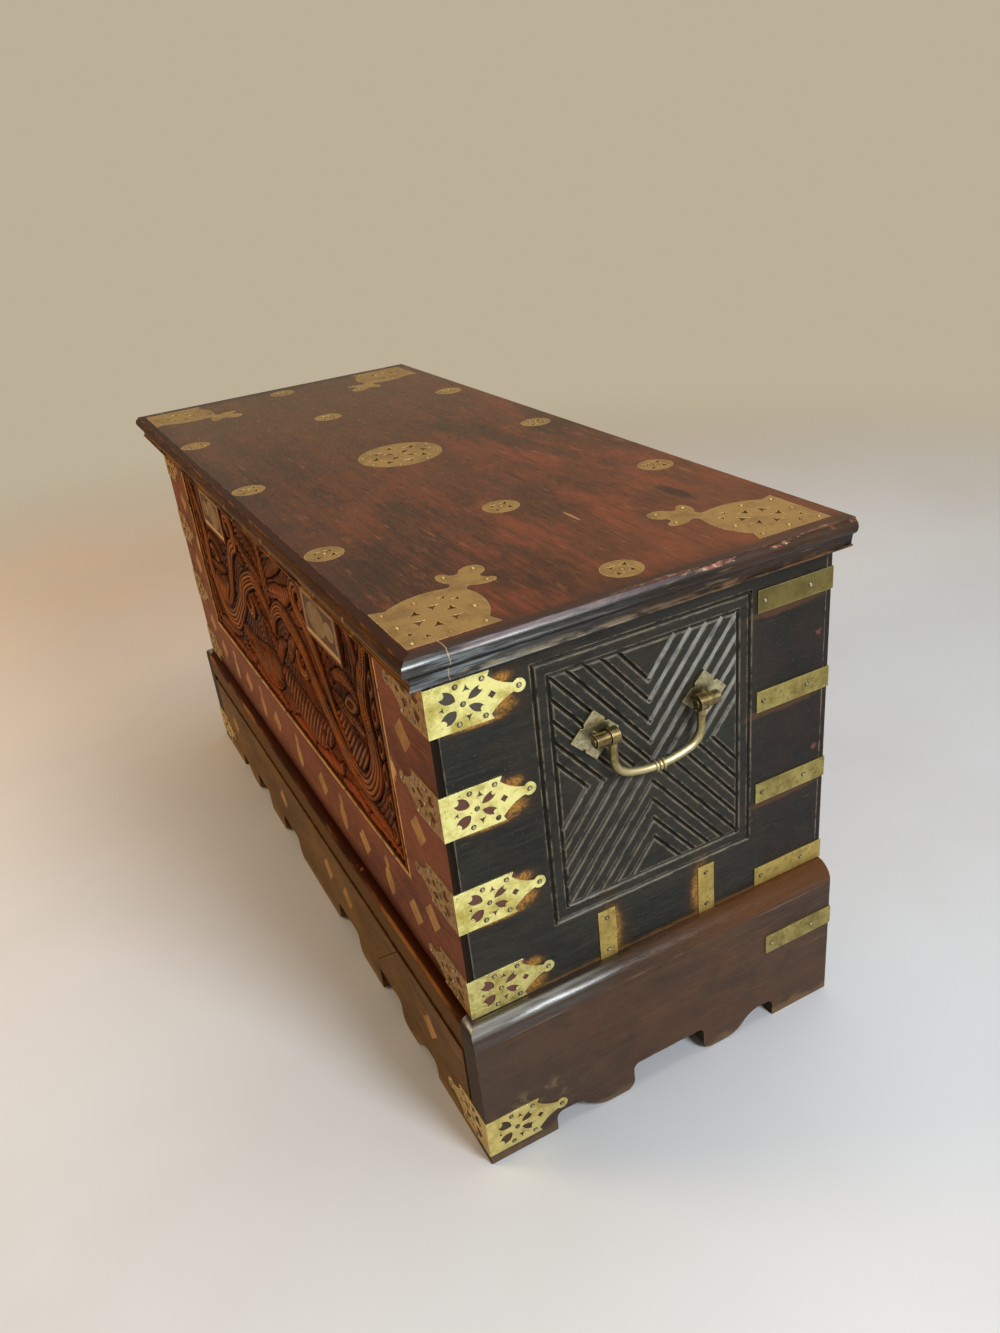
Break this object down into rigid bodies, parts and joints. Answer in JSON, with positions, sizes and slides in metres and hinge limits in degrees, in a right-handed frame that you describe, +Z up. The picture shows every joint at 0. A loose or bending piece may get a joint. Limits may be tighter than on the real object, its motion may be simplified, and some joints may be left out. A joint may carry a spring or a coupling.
{
  "type": "zanzibar chest",
  "caption": "Brass-bound wooden coffer with a hinged lid, carved front, incised ends and swinging bail handles, on a scalloped plinth that hides a drawer.",
  "frame": {"origin": "on the floor, in the middle of the footprint of the whole chest", "axes": "+X along the length, -Y out of the carved front, +Z up"},
  "size_m": [0.9, 0.3943, 0.49],
  "materials": {
    "lid_wood": "waxed red-brown hardwood",
    "ebonised_wood": "near-black waxed hardwood with rubbed edges",
    "front_wood": "waxed carved hardwood",
    "plinth_wood": "worn dark brown wax",
    "inner_wood": "dry unpolished wood",
    "strap_brass": "rubbed sheet brass",
    "handle_brass": "dulled cast brass",
    "inlay_brass": "toned flush brass",
    "hinge_brass": "dull brass"
  },
  "bodies": {
    "chest": {"back_board": "inner_wood", "floor_board": "inner_wood", "plinth_back": "inner_wood", "right_drawer_guide": "inner_wood", "left_drawer_guide": "inner_wood", "right_drawer_runner": "inner_wood", "left_drawer_runner": "inner_wood", "front_board": "front_wood", "right_end_board": "ebonised_wood", "left_end_board": "ebonised_wood", "right_plinth_side": "plinth_wood", "left_plinth_side": "plinth_wood", "plinth_top_rail": "plinth_wood", "right_plinth_front": "plinth_wood", "left_plinth_front": "plinth_wood", "right_hinge_body_leaf": "hinge_brass", "left_hinge_body_leaf": "hinge_brass", "hinge_pins": "hinge_brass", "hinge_body_screws": "hinge_brass", "right_handle_posts": "handle_brass", "left_handle_posts": "handle_brass", "handle_stars": "handle_brass", "handle_pivot_pins": "handle_brass", "handle_roves": "handle_brass", "right_front_corner_straps": "strap_brass", "left_front_corner_straps": "strap_brass", "right_back_corner_straps": "strap_brass", "left_back_corner_straps": "strap_brass", "right_plinth_front_strap": "strap_brass", "left_plinth_front_strap": "strap_brass", "plinth_back_straps": "strap_brass", "end_upright_straps": "strap_brass", "strap_pins": "strap_brass", "front_lozenges": "inlay_brass", "front_fleurs": "inlay_brass", "front_stringing": "inlay_brass", "front_tablet_frames": "inlay_brass"},
    "lid": {"lid_board": "lid_wood", "lid_front_moulding": "ebonised_wood", "right_lid_moulding": "ebonised_wood", "left_lid_moulding": "ebonised_wood", "right_lid_front_mount": "inlay_brass", "left_lid_front_mount": "inlay_brass", "right_lid_back_mount": "inlay_brass", "left_lid_back_mount": "inlay_brass", "lid_centre_roundel": "inlay_brass", "lid_small_roundels": "inlay_brass", "lid_pins": "inlay_brass", "right_hinge_lid_leaf": "hinge_brass", "left_hinge_lid_leaf": "hinge_brass", "hinge_lid_screws": "hinge_brass"},
    "drawer": {"drawer_front": "plinth_wood", "right_drawer_side": "inner_wood", "left_drawer_side": "inner_wood", "drawer_back": "inner_wood", "drawer_bottom": "inner_wood", "drawer_lozenges": "inlay_brass"},
    "right_handle": {"right_handle_bail": "handle_brass"},
    "left_handle": {"left_handle_bail": "handle_brass"}
  },
  "joints": [
    {"name": "lid_hinge", "type": "hinge", "parent": "chest", "child": "lid", "pos_m": [0, 0.19215, 0.4645], "axis": [-1, 0, 0], "range_deg": [0, 100]},
    {"name": "drawer_slide", "type": "slide", "parent": "chest", "child": "drawer", "axis": [0, -1, 0], "range_m": [0, 0.21]},
    {"name": "right_handle_swing", "type": "hinge", "parent": "chest", "child": "right_handle", "pos_m": [0.4345, 0.00585, 0.3695], "axis": [0, -1, 0], "range_deg": [0, 170]},
    {"name": "left_handle_swing", "type": "hinge", "parent": "chest", "child": "left_handle", "pos_m": [-0.4345, 0.00585, 0.3695], "axis": [0, 1, 0], "range_deg": [0, 170]}
  ]
}
